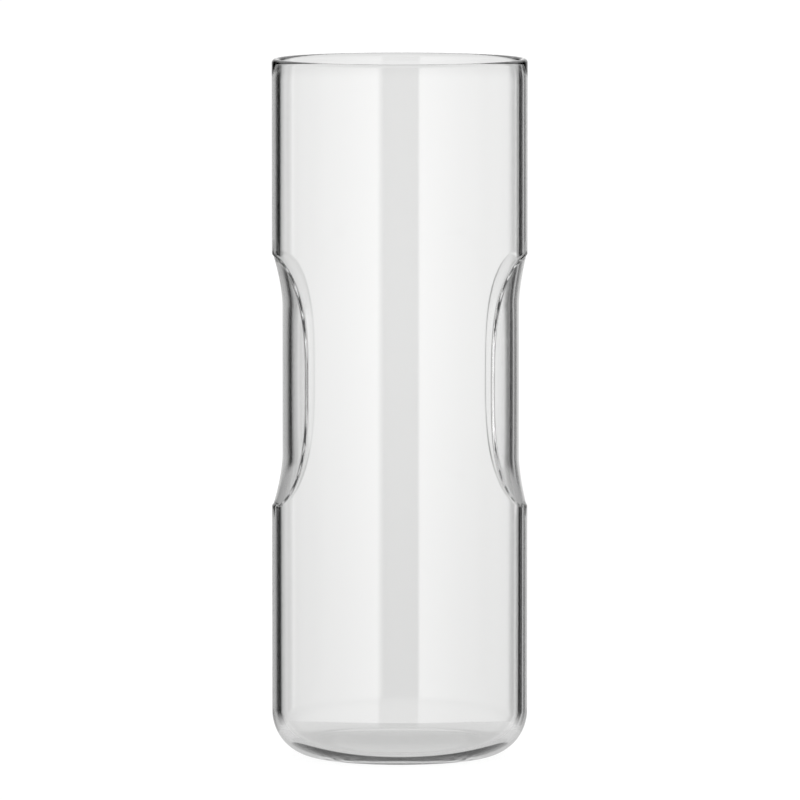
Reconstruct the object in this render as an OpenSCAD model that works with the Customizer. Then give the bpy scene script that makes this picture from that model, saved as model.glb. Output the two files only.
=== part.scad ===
// Water carafe: one piece of clear glass, a straight cylinder that is open at the top,
// with a rounded heel and two oval recesses, pressed into opposite sides as a grip.
// It stands on the XY plane, with the Z axis up its middle and the recesses facing +X and -X.

/* [Body] */
// Outside diameter of the glass cylinder
body_d = 90; // [80:1:110]
// Height from the table to the top of the rim
body_h = 246; // [230:1:300]
// Thickness of the side wall at the neck
wall_t = 2.9; // [2:0.1:3.5]
// How much thicker the side wall is at the heel than at the neck
wall_draft = 0.2; // [0.1:0.05:0.4]
// Thickness of the floor
floor_t = 3.6; // [3:0.1:6]

/* [Heel] */
// Outside radius of the rounded heel
heel_r = 16; // [13:0.5:20]
// Inside radius of the rounded heel
heel_inner_r = 13; // [9:0.5:16]

/* [Grip recesses] */
// Height of a recess, from end to end
grip_h = 89; // [70:1:95]
// Width of a recess across its edges, measured straight
grip_w = 61; // [50:1:64]
// Depth of a recess below the cylinder, at its middle
grip_depth = 3.1; // [2:0.1:4]
// Length of the slope at each end of a recess
grip_slope = 15; // [11:0.5:20]
// Height of a recess's middle above the table
grip_z = 133; // [115:1:140]
// Plain wall between the top of a recess and the straight bore of the neck
neck_gap = 1; // [0.5:0.5:5]

/* [Quality] */
// Rows of facets up a recess
grip_rows = 26; // [16:2:32]
// Columns of facets across a recess
grip_cols = 20; // [12:2:24]

/* [Hidden] */
$fn = 128;
body_r = body_d / 2;
bore_r = body_r - wall_t;
heel_bore_r = bore_r - wall_draft;
// The bore of the neck is straight above this height
neck_z = grip_z + grip_h / 2 + neck_gap;
// The rim is melted round, so its section is a half circle as wide as the wall
lip_r = wall_t / 2;
// How far a cut runs past the glass
overrun = 4;
// Half of the angle that a recess takes on the cylinder
grip_angle = asin(grip_w / body_d);
// The outline of a recess is a superellipse: 2 is an ellipse, more is squarer
oval_power = 3;
// How the end slope eases into the recess: 1 is straight, 2 is a parabola
slope_power = 1.6;
// How sharply a recess breaks at its long edges: 0 is smooth, 1 is the edge of a parabola
crease_share = 0.3;
// The last row of facets lies this share of a quarter turn from the middle row
last_row_share = 0.94;
// The tool's face runs past the outline by this share of its half width
past_edge_share = 0.1;

// How much of its depth a recess has at a distance from its end, as a share
function slope_share(run) =
    run >= grip_slope ? 1
    : run <= 0 ? slope_power * run / grip_slope
    : 1 - pow(1 - run / grip_slope, slope_power);

// How much of its depth a recess has at a share of its half width, negative past the edge
function across_share(across) =
    let (
        bell = pow(cos(90 * across), 2),
        side = abs(across) > 1 ? -1 : 1
    )
    crease_share * (1 - across * across) + side * (1 - crease_share) * bell;

// A row is [height from the middle, half angle of the outline], at a turn from -90 to 90
function oval_row(turn) = [
    sign(turn) * grip_h / 2 * pow(abs(sin(turn)), 2 / oval_power),
    grip_angle * pow(cos(turn), 2 / oval_power)
];

// One more row past each end, where the tool's face has left the glass
function past_row(row) = [sign(row[0]) * (grip_h / 2 + lip_r), row[1]];

last_turn = 90 * last_row_share;
inner_rows = [for (i = [0:grip_rows]) oval_row(last_turn * (2 * i / grip_rows - 1))];
oval_rows = concat([past_row(inner_rows[0])], inner_rows, [past_row(inner_rows[grip_rows])]);

// A point of the recess's face in a row, at a share of the half width from -1 to 1
function face_point(row, across, radius) =
    let (
        depth = grip_depth * slope_share(grip_h / 2 - abs(row[0])) * across_share(across),
        reach = radius - (abs(row[0]) > grip_h / 2 ? -lip_r : depth),
        turn = row[1] * across
    )
    [reach * cos(turn), reach * sin(turn), grip_z + row[0]];

// Section of the solid glass block, before it is hollowed
module block_section() {
    straight_h = body_h - heel_r - lip_r;
    translate([0, heel_r])
        square([body_r, straight_h]);
    square([body_r - heel_r, heel_r]);
    translate([body_r - heel_r, heel_r])
        circle(r = heel_r);
    translate([0, heel_r])
        square([body_r - lip_r, body_h - heel_r]);
    translate([body_r - lip_r, body_h - lip_r])
        circle(r = lip_r);
}

// Section of the space inside, out past the rim: a straight neck over a slight taper
module hollow_section() {
    heel_top = floor_t + heel_inner_r;
    flat_r = heel_bore_r - heel_inner_r;
    translate([0, neck_z])
        square([bore_r, body_h - lip_r - neck_z]);
    polygon([[0, heel_top], [heel_bore_r, heel_top], [bore_r, neck_z], [0, neck_z]]);
    translate([0, floor_t])
        square([flat_r, heel_inner_r]);
    intersection() {
        translate([flat_r, heel_top])
            circle(r = heel_inner_r);
        translate([0, floor_t])
            square([heel_bore_r, heel_inner_r]);
    }
    difference() {
        translate([0, body_h - lip_r])
            square([body_r - lip_r, lip_r + overrun]);
        translate([body_r - lip_r, body_h - lip_r])
            circle(r = lip_r);
    }
}

// Solid that stands outside a recess's face, on the +X side, for a wall surface of a radius
module grip_tool(radius) {
    row_count = len(oval_rows);
    col_count = grip_cols + 1;
    reach_share = 1 + past_edge_share;
    face = [
        for (row = oval_rows, i = [0:grip_cols])
            face_point(row, reach_share * (2 * i / grip_cols - 1), radius)
    ];
    // The back stands so far out that the tool's sides pass clear of the cylinder
    back = [radius / cos(grip_angle * reach_share) + overrun, 0, grip_z];
    quads = [
        for (j = [0:row_count - 2], i = [0:grip_cols - 1])
            let (a = j * col_count + i)
            [a, a + 1, a + col_count + 1, a + col_count]
    ];
    halves = [for (q = quads) each [[q[0], q[1], q[2]], [q[0], q[2], q[3]]]];
    back_at = len(face);
    top_at = (row_count - 1) * col_count;
    rim = concat(
        [for (i = [0:grip_cols - 1]) i],
        [for (j = [0:row_count - 2]) j * col_count + grip_cols],
        [for (i = [grip_cols:-1:1]) top_at + i],
        [for (j = [row_count - 1:-1:1]) j * col_count]
    );
    fan = [for (k = [0:len(rim) - 1]) [rim[(k + 1) % len(rim)], rim[k], back_at]];
    polyhedron(points = concat(face, [back]), faces = concat(halves, fan));
}

module both_grips(radius) {
    for (side = [0, 180])
        rotate(side)
            grip_tool(radius);
}

module glass_body() {
    color([0.86, 0.9, 0.88, 0.35])
        difference() {
            rotate_extrude()
                block_section();
            both_grips(body_r);
            difference() {
                rotate_extrude()
                    hollow_section();
                both_grips(bore_r);
            }
        }
}

glass_body();
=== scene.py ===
"""Looks for the water carafe: one piece of clear glass on a white ground."""
import math

import bpy
import numpy as np
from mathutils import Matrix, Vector


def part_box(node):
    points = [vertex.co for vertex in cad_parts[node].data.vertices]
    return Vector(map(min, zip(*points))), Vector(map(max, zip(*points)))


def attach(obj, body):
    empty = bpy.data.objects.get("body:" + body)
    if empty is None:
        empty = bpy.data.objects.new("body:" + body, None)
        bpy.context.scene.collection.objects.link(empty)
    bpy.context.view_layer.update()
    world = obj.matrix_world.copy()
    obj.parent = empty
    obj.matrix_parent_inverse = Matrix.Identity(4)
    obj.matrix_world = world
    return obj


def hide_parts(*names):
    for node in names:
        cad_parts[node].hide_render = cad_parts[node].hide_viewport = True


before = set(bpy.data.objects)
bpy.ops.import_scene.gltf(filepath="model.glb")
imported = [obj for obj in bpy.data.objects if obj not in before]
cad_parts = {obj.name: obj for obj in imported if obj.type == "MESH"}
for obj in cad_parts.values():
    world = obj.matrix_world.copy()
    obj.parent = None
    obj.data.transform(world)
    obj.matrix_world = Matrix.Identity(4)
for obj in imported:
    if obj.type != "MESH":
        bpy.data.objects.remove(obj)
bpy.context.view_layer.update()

# Sizes of the glass, in metres; the outer ones come from the frame
MM = 0.001
LOW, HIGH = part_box("glass_body")
BODY_R = min(HIGH[0], HIGH[1], -LOW[0], -LOW[1])
BODY_H = HIGH[2]
WALL_T = 2.9 * MM
WALL_DRAFT = 0.2 * MM
FLOOR_T = 3.6 * MM
HEEL_R = 16 * MM
HEEL_INNER_R = 13 * MM
GRIP_H = 89 * MM
GRIP_Z = 133 * MM
NECK_GAP = 1 * MM
LIP_R = WALL_T / 2
BORE_R = BODY_R - WALL_T
HEEL_BORE_R = BORE_R - WALL_DRAFT
OVAL_POWER = 3

# Depth of each recess at its middle, and half the angle that it takes on the cylinder, in
# degrees. Its section is a parabola, and the inside follows the outside.
RIGHT_DEPTH = 3.0 * MM
LEFT_DEPTH = 3.7 * MM
GRIP_ANGLE = 42.7
# Slope at each end of a recess: its length, how it eases (1 is straight), the share of the depth
# that a first ledge takes, and how far that ledge runs
SLOPE_LENGTH = 18 * MM
SLOPE_POWER = 1.6
LEDGE_SHARE = 0.1
LEDGE_RUN = 0.8 * MM

# How finely the glass is divided
TURNS = 540
ARC_STEPS = 20
LIP_STEPS = 14
GRIP_STEPS = 200
PLAIN_STEPS = 12
FLAT_STEPS = 8
# How much closer the rings stand towards the two ends of a recess: 1 is even
RING_EASE = 1.35


def slope_share(run):
    """How much of its depth a recess has at a distance from its end."""
    x = min(max(run / SLOPE_LENGTH, 0), 1)
    step = LEDGE_SHARE * min(max(run / LEDGE_RUN, 0), 1)
    return step + (1 - LEDGE_SHARE) * (1 - (1 - x) ** SLOPE_POWER)


def recess_depth(angle, z):
    """Depth of the two recesses below the plain wall, at an angle and a height."""
    rise = min(abs(z - GRIP_Z) / (GRIP_H / 2), 1)
    if rise == 1:
        return np.zeros_like(angle)
    from_x = np.degrees(np.abs((angle + math.pi / 2) % math.pi - math.pi / 2))
    across = from_x / (GRIP_ANGLE * (1 - rise ** OVAL_POWER) ** (1 / OVAL_POWER))
    share = slope_share((1 - rise) * GRIP_H / 2) * np.clip(1 - across ** 2, 0, None)
    return np.where(np.cos(angle) > 0, RIGHT_DEPTH, LEFT_DEPTH) * share


def bore_radius(z):
    """Inner radius of the plain wall, which tapers slightly below the neck."""
    neck_z = GRIP_Z + GRIP_H / 2 + NECK_GAP
    heel_z = FLOOR_T + HEEL_INNER_R
    share = min(max((neck_z - z) / (neck_z - heel_z), 0), 1)
    return BORE_R - WALL_DRAFT * share


def arc(centre, radius, start, end, steps):
    """Points of an arc in the section, as (radius from the axis, height)."""
    turns = np.linspace(start, end, steps + 1)
    return [(centre[0] + radius * math.cos(t), centre[1] + radius * math.sin(t)) for t in turns]


def wall_heights(bottom, top):
    """Heights of the rings up a wall, close together where the recesses are."""
    grip_low = GRIP_Z - GRIP_H / 2
    grip_high = GRIP_Z + GRIP_H / 2
    shares = np.linspace(-1, 1, GRIP_STEPS + 1)
    eased = np.sign(shares) * (1 - (1 - np.abs(shares)) ** RING_EASE)
    band = GRIP_Z + GRIP_H / 2 * eased
    below = np.linspace(bottom, grip_low, PLAIN_STEPS + 1)[:-1]
    above = np.linspace(grip_high, top, PLAIN_STEPS + 1)[1:]
    return np.concatenate([below, band, above])


def glass_rings():
    """Rings of the whole surface, from the middle of the underside to that of the inner floor."""
    angle = np.arange(TURNS) / TURNS * 2 * math.pi
    rings = []

    def plain(points):
        for radius, z in points:
            rings.append((np.full(TURNS, radius), np.full(TURNS, z)))

    def wall(heights, radius_at):
        for z in heights:
            rings.append((radius_at(z) - recess_depth(angle, z), np.full(TURNS, z)))

    flat_r = BODY_R - HEEL_R
    inner_flat_r = HEEL_BORE_R - HEEL_INNER_R
    heel_top = FLOOR_T + HEEL_INNER_R
    lip_z = BODY_H - LIP_R
    plain([(flat_r * s / FLAT_STEPS, 0) for s in range(1, FLAT_STEPS)])
    plain(arc((flat_r, HEEL_R), HEEL_R, -math.pi / 2, 0, ARC_STEPS)[:-1])
    wall(wall_heights(HEEL_R, lip_z), lambda z: BODY_R)
    plain(arc((BODY_R - LIP_R, lip_z), LIP_R, 0, math.pi, LIP_STEPS)[1:-1])
    wall(wall_heights(heel_top, lip_z)[::-1], bore_radius)
    plain(arc((inner_flat_r, heel_top), HEEL_INNER_R, 0, -math.pi / 2, ARC_STEPS)[1:])
    plain([(inner_flat_r * s / FLAT_STEPS, FLOOR_T) for s in range(FLAT_STEPS - 1, 0, -1)])
    return angle, rings


def make_glass():
    """One closed mesh: quads between the rings, and a fan of triangles over each end."""
    angle, rings = glass_rings()
    radius = np.array([r for r, z in rings])
    height = np.array([z for r, z in rings])
    points = np.stack([radius * np.cos(angle), radius * np.sin(angle), height], -1).reshape(-1, 3)
    count = len(rings)
    index = np.arange(count * TURNS).reshape(count, TURNS)
    after = np.roll(index, -1, axis=1)
    quads = np.stack([index[:-1], after[:-1], after[1:], index[1:]], -1).reshape(-1, 4)
    under = len(points)
    inside = under + 1
    caps = [(under, int(after[0, i]), int(index[0, i])) for i in range(TURNS)]
    caps += [(inside, int(index[-1, i]), int(after[-1, i])) for i in range(TURNS)]
    vertices = points.tolist() + [[0, 0, 0], [0, 0, FLOOR_T]]
    mesh = bpy.data.meshes.new("carafe_glass")
    mesh.from_pydata(vertices, [], quads.tolist() + caps)
    mesh.shade_smooth()
    glass = bpy.data.objects.new("carafe_glass", mesh)
    bpy.context.scene.collection.objects.link(glass)
    return glass


def feed(tree, socket, value):
    """Sets a socket to a number, or links it to another node's output."""
    if isinstance(value, (int, float)):
        socket.default_value = value
    else:
        tree.links.new(value, socket)


def math_node(tree, operation, *values):
    node = tree.nodes.new("ShaderNodeMath")
    node.operation = operation
    for socket, value in zip(node.inputs, values):
        feed(tree, socket, value)
    return node.outputs[0]


def mix_node(tree, share, first, second):
    """Runs from the first value to the second as the share goes from 0 to 1."""
    node = tree.nodes.new("ShaderNodeMix")
    sockets = (node.inputs[0], node.inputs[2], node.inputs[3])
    for socket, value in zip(sockets, (share, first, second)):
        feed(tree, socket, value)
    return node.outputs[0]


def ramp_node(tree, value, start, end):
    """Runs smoothly from 0 at the start to 1 at the end."""
    node = tree.nodes.new("ShaderNodeMapRange")
    node.interpolation_type = "SMOOTHSTEP"
    tree.links.new(value, node.inputs["Value"])
    node.inputs["From Min"].default_value = start
    node.inputs["From Max"].default_value = end
    return node.outputs[0]


def length_node(tree, vector):
    node = tree.nodes.new("ShaderNodeVectorMath")
    node.operation = "LENGTH"
    tree.links.new(vector, node.inputs[0])
    return node.outputs["Value"]


GLASS_TINT = (0.99, 0.991, 0.988, 1)
GLASS_IOR = 1.47
# The glass's own detail: slow waves from the mould, ripples where it was pressed, faint smears.
# A detail says how fine a noise gets.
WAVE_PITCH = 24 * MM
WAVE_DETAIL = 1
WAVE_HEIGHT = 0.012 * MM
RIPPLE_PITCH = 2.2 * MM
RIPPLE_DETAIL = 2
RIPPLE_HEIGHT = 0.004 * MM
# The ripples lie at both ends of a recess, in a band of this height that fades at its edges, and
# come in between these two distances from the plane midway between the recesses
RIPPLE_BAND = 16 * MM
RIPPLE_SIDE = (BODY_R * 0.6, BODY_R * 0.75)
SMEAR_PITCH = 9 * MM
SMEAR_DETAIL = 3
# The roughness runs between its two values as the noise runs between these
SMEAR_NOISE = (0.35, 0.75)
SMEAR_ROUGHNESS = (0.004, 0.03)


def noise_node(tree, place, pitch, detail):
    node = tree.nodes.new("ShaderNodeTexNoise")
    tree.links.new(place, node.inputs["Vector"])
    node.inputs["Scale"].default_value = 1 / pitch
    node.inputs["Detail"].default_value = detail
    return node.outputs[0]


def glass_relief(tree, place):
    """Height of the waves and ripples on the glass, in metres."""
    parts = tree.nodes.new("ShaderNodeSeparateXYZ")
    tree.links.new(place, parts.inputs[0])
    above_middle = math_node(tree, "SUBTRACT", parts.outputs["Z"], GRIP_Z)
    from_middle = math_node(tree, "ABSOLUTE", above_middle)
    above_band = math_node(tree, "SUBTRACT", from_middle, GRIP_H / 2 - RIPPLE_BAND / 2)
    from_band = math_node(tree, "ABSOLUTE", above_band)
    past_band = ramp_node(tree, from_band, RIPPLE_BAND / 4, RIPPLE_BAND / 2)
    in_band = math_node(tree, "SUBTRACT", 1, past_band)
    from_plane = math_node(tree, "ABSOLUTE", parts.outputs["X"])
    rippled = math_node(tree, "MULTIPLY", in_band, ramp_node(tree, from_plane, *RIPPLE_SIDE))
    ripple_noise = noise_node(tree, place, RIPPLE_PITCH, RIPPLE_DETAIL)
    ripples = math_node(tree, "MULTIPLY", ripple_noise, rippled)
    wave_noise = noise_node(tree, place, WAVE_PITCH, WAVE_DETAIL)
    waves = math_node(tree, "MULTIPLY", wave_noise, WAVE_HEIGHT)
    return math_node(tree, "ADD", waves, math_node(tree, "MULTIPLY", ripples, RIPPLE_HEIGHT))


def clear_glass():
    material = bpy.data.materials.new("clear_glass")
    material.use_nodes = True
    tree = material.node_tree
    shader = tree.nodes["Principled BSDF"]
    shader.inputs["Base Color"].default_value = GLASS_TINT
    shader.inputs["Transmission Weight"].default_value = 1
    shader.inputs["IOR"].default_value = GLASS_IOR
    place = tree.nodes.new("ShaderNodeTexCoord").outputs["Object"]
    bump = tree.nodes.new("ShaderNodeBump")
    bump.inputs["Distance"].default_value = 1
    tree.links.new(glass_relief(tree, place), bump.inputs["Height"])
    tree.links.new(bump.outputs[0], shader.inputs["Normal"])
    smears = tree.nodes.new("ShaderNodeMapRange")
    smear_noise = noise_node(tree, place, SMEAR_PITCH, SMEAR_DETAIL)
    tree.links.new(smear_noise, smears.inputs["Value"])
    smears.inputs["From Min"].default_value, smears.inputs["From Max"].default_value = SMEAR_NOISE
    smears.inputs["To Min"].default_value, smears.inputs["To Max"].default_value = SMEAR_ROUGHNESS
    tree.links.new(smears.outputs[0], shader.inputs["Roughness"])
    return material


def light_curve(tree, azimuth, stops):
    """Brightness by azimuth, through (azimuth, brightness) stops."""
    curve = tree.nodes.new("ShaderNodeFloatCurve")
    curve.mapping.use_clip = False
    points = curve.mapping.curves[0].points
    start, end = stops[0][0], stops[-1][0]
    top = max(b for a, b in stops)
    spread = [((a - start) / (end - start), b / top) for a, b in stops]
    points[0].location = spread[0]
    points[1].location = spread[-1]
    for place in spread[1:-1]:
        points.new(*place)
    for point in points:
        point.handle_type = "VECTOR"
    curve.mapping.update()
    along = math_node(tree, "DIVIDE", math_node(tree, "SUBTRACT", azimuth, start), end - start)
    tree.links.new(along, curve.inputs["Value"])
    return math_node(tree, "MULTIPLY", curve.outputs[0], top)


# Light by direction. An azimuth is in degrees, 0 behind the carafe and 90 on its right.
# Light panels with dark flags between them draw the glass's edges, as in a studio, and the
# camera stands in a dark gap. The first list is what shows through the glass, and the second
# what it mirrors on its outside.
THROUGH = [
    (-180, 0), (-162, 0), (-160, 1.4), (-90, 0.8), (-45, 0.8), (-40, 0.4), (-36, 0), (-26, 0),
    (-20, 0.4), (-15, 0.7), (0, 0.9), (10, 0.8), (14, 0.2), (20, 0.2), (24, 0.8), (28, 0), (40, 0),
    (45, 1.4), (55, 0.8), (120, 0.9), (162, 1.3), (164, 0), (180, 0),
]
FRONT = [
    (-180, 0), (-162, 0), (-160, 1.5), (-60, 1), (-38, 0), (-20, 0), (0, 1), (25, 0), (42, 0),
    (50, 1.3), (120, 1), (162, 1.3), (164, 0), (180, 0),
]
# Stops nearer than this to the middle of the back are also in a finer curve of their own
BEHIND_ANGLE = 65
# Height of a direction, as its share of straight up: where the light turns even, and where the
# panels fade towards the table
STEEP_START = 0.14
STEEP_END = 0.4
STEEP_THROUGH = 0.75
STEEP_FRONT = 1
LOW_START = 0.07
LOW_END = 0.115
LOW_DIM = 0.93
# Light that comes through the glass from about the horizon and up is dimmer and even
HIGH_START = -0.05
HIGH_END = -0.02
HIGH_THROUGH = 0.5


def light_round(tree, azimuth, stops):
    """Brightness all round. A curve has few steps, so the gaps at the back get their own."""
    behind = [stop for stop in stops if abs(stop[0]) < BEHIND_ANGLE]
    past_left = math_node(tree, "GREATER_THAN", azimuth, behind[0][0])
    before_right = math_node(tree, "LESS_THAN", azimuth, behind[-1][0])
    is_behind = math_node(tree, "MULTIPLY", past_left, before_right)
    whole, fine = (light_curve(tree, azimuth, part) for part in (stops, behind))
    return mix_node(tree, is_behind, whole, fine)


def make_world():
    """The studio as the glass shows it. The camera and matt surfaces see plain white instead."""
    world = bpy.data.worlds.new("studio")
    bpy.context.scene.world = world
    world.use_nodes = True
    tree = world.node_tree
    background = tree.nodes["Background"]
    background.inputs["Color"].default_value = (1, 1, 1, 1)
    place = tree.nodes.new("ShaderNodeTexCoord")
    parts = tree.nodes.new("ShaderNodeSeparateXYZ")
    tree.links.new(place.outputs["Generated"], parts.inputs[0])
    to_right, to_back, up = (parts.outputs[axis] for axis in "XYZ")
    azimuth = math_node(tree, "ARCTAN2", to_right, to_back)
    azimuth = math_node(tree, "MULTIPLY", azimuth, 180 / math.pi)
    steep = ramp_node(tree, math_node(tree, "ABSOLUTE", up), STEEP_START, STEEP_END)
    low = ramp_node(tree, math_node(tree, "MULTIPLY", up, -1), LOW_START, LOW_END)
    dim = mix_node(tree, low, 1, LOW_DIM)
    panels = math_node(tree, "MULTIPLY", light_round(tree, azimuth, THROUGH), dim)
    high = ramp_node(tree, up, HIGH_START, HIGH_END)
    level = mix_node(tree, high, panels, HIGH_THROUGH)
    through = mix_node(tree, steep, level, STEEP_THROUGH)
    front = mix_node(tree, steep, light_round(tree, azimuth, FRONT), STEEP_FRONT)
    path = tree.nodes.new("ShaderNodeLightPath")
    seen = mix_node(tree, path.outputs["Is Transmission Ray"], front, through)
    seen = mix_node(tree, path.outputs["Is Diffuse Ray"], seen, 1)
    seen = mix_node(tree, path.outputs["Is Camera Ray"], seen, 1)
    tree.links.new(seen, background.inputs["Strength"])


# The pale floor. The glass shows it only near the carafe, and the light panels beyond that.
FLOOR_SIZE = 40
FLOOR_DROP = 0.2 * MM
FLOOR_MATT = 0.1
FLOOR_GLOW = 0.95
GLOW_IN_GLASS = 0.59
TABLE_R = 60 * MM
TABLE_EDGE = 3 * MM
# Painted shade under the heel, where it would cast its shadow: a dark ring painted into the
# floor's glow that draws the dark line along the base. Each edge has a radius towards the camera
# and a squeeze from side to side.
SHADE_INNER = (28 * MM, 1.15)
SHADE_OUTER = (32.6 * MM, 0.8)
SHADE_SOFTNESS = 0.4 * MM
SHADE_GLOW = 0.03
# The line shows only straight through the wall, and this much of it after more crossings
STRAIGHT_CROSSINGS = 2.5
SHADE_BEYOND = 0.1


def painted_heel_shade(tree, path):
    """How much painted shade lies on the floor under the heel, as the glass shows it, from 0 to 1.
    """
    place = tree.nodes.new("ShaderNodeTexCoord")
    edges = []
    for radius, squeeze in (SHADE_INNER, SHADE_OUTER):
        squeezed = tree.nodes.new("ShaderNodeVectorMath")
        squeezed.operation = "MULTIPLY"
        tree.links.new(place.outputs["Object"], squeezed.inputs[0])
        squeezed.inputs[1].default_value = (squeeze, 1, 1)
        away = length_node(tree, squeezed.outputs[0])
        edges.append(ramp_node(tree, away, radius - SHADE_SOFTNESS, radius + SHADE_SOFTNESS))
    ring = math_node(tree, "MULTIPLY", edges[0], math_node(tree, "SUBTRACT", 1, edges[1]))
    crossings = path.outputs["Transmission Depth"]
    straight = math_node(tree, "LESS_THAN", crossings, STRAIGHT_CROSSINGS)
    strength = mix_node(tree, straight, SHADE_BEYOND, 1)
    shown = math_node(tree, "MULTIPLY", path.outputs["Is Transmission Ray"], strength)
    return math_node(tree, "MULTIPLY", ring, shown)


def make_floor():
    """A matt ground that also glows, to be white for the camera."""
    half = FLOOR_SIZE / 2
    corners = [(-half, -half, 0), (half, -half, 0), (half, half, 0), (-half, half, 0)]
    mesh = bpy.data.meshes.new("floor")
    mesh.from_pydata(corners, [], [(0, 1, 2, 3)])
    ground = bpy.data.objects.new("floor", mesh)
    ground.location = (0, 0, -FLOOR_DROP)
    bpy.context.scene.collection.objects.link(ground)
    material = bpy.data.materials.new("white_ground")
    material.use_nodes = True
    tree = material.node_tree
    tree.nodes.clear()
    place = tree.nodes.new("ShaderNodeTexCoord")
    distance = length_node(tree, place.outputs["Object"])
    path = tree.nodes.new("ShaderNodeLightPath")
    matt = tree.nodes.new("ShaderNodeBsdfDiffuse")
    matt.inputs["Color"].default_value = (FLOOR_MATT, FLOOR_MATT, FLOOR_MATT, 1)
    glow = tree.nodes.new("ShaderNodeEmission")
    # The floor's glow as the glass shows it, darkened by the painted shade ring under the heel
    in_glass_glow = mix_node(tree, painted_heel_shade(tree, path), GLOW_IN_GLASS, SHADE_GLOW)
    glows = mix_node(tree, path.outputs["Is Camera Ray"], in_glass_glow, FLOOR_GLOW)
    tree.links.new(glows, glow.inputs["Strength"])
    both = tree.nodes.new("ShaderNodeAddShader")
    tree.links.new(matt.outputs[0], both.inputs[0])
    tree.links.new(glow.outputs[0], both.inputs[1])
    clear = tree.nodes.new("ShaderNodeBsdfTransparent")
    beyond = ramp_node(tree, distance, TABLE_R, TABLE_R + TABLE_EDGE)
    through = path.outputs["Is Transmission Ray"]
    in_glass = math_node(tree, "MAXIMUM", through, path.outputs["Is Glossy Ray"])
    surface = tree.nodes.new("ShaderNodeMixShader")
    tree.links.new(math_node(tree, "MULTIPLY", beyond, in_glass), surface.inputs[0])
    tree.links.new(both.outputs[0], surface.inputs[1])
    tree.links.new(clear.outputs[0], surface.inputs[2])
    output = tree.nodes.new("ShaderNodeOutputMaterial")
    tree.links.new(surface.outputs[0], output.inputs["Surface"])
    mesh.materials.append(material)


# The photograph's view: a long lens, a little above the rim. Places in the frame are in pixels.
FRAME_PX = 800
MM_PER_PX = 0.3520
RIM_Y = 58.3
AXIS_X = 399.7
CAMERA_DISTANCE = 3.5
RIM_TILT = math.radians(2.78)
SENSOR_MM = 36
CLIP_END = 50


def make_camera():
    px = MM_PER_PX * MM
    middle = Vector(((FRAME_PX / 2 - AXIS_X) * px, 0, BODY_H - (FRAME_PX / 2 - RIM_Y) * px))
    data = bpy.data.cameras.new("camera")
    camera = bpy.data.objects.new("camera", data)
    bpy.context.scene.collection.objects.link(camera)
    height = BODY_H + CAMERA_DISTANCE * math.tan(RIM_TILT)
    camera.location = (0, -CAMERA_DISTANCE, height)
    sight = middle - camera.location
    camera.rotation_euler = sight.to_track_quat("-Z", "Y").to_euler()
    data.sensor_width = SENSOR_MM
    data.lens = SENSOR_MM * sight.length / (FRAME_PX * px)
    data.clip_end = CLIP_END
    bpy.context.scene.camera = camera


# Light that runs down inside the wall meets its surfaces many times before it leaves the heel
LIGHT_BOUNCES = 32

glass = make_glass()
glass.data.materials.append(clear_glass())
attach(glass, "root")
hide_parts("glass_body")
make_floor()
make_world()
make_camera()
bpy.context.scene.view_settings.view_transform = "Standard"
cycles = bpy.context.scene.cycles
cycles.max_bounces = cycles.glossy_bounces = cycles.transmission_bounces = LIGHT_BOUNCES
